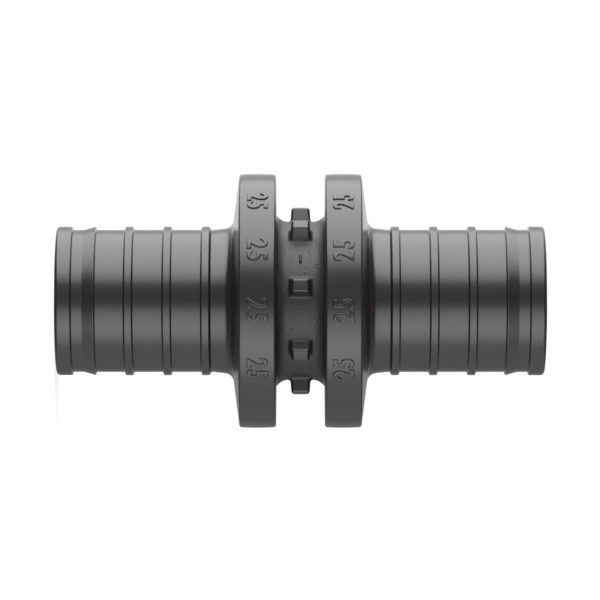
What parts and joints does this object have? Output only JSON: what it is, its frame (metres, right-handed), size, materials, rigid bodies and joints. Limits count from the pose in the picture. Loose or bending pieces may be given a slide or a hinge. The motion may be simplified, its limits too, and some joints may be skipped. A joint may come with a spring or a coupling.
{
  "type": "straight coupling",
  "caption": "Straight moulded coupling that joins two plastic pipes in line, with ribbed spigots, thick collars and a lugged neck.",
  "frame": {"origin": "centre of the coupling, on its axis, halfway between the two end faces", "axes": "+Z along the axis of the coupling, +X through the middle of one lug"},
  "size_m": [0.0386, 0.0386, 0.074],
  "materials": {
    "moulded_plastic": "satin"
  },
  "bodies": {
    "root": {"coupling_body": "moulded_plastic"}
  },
  "joints": []
}
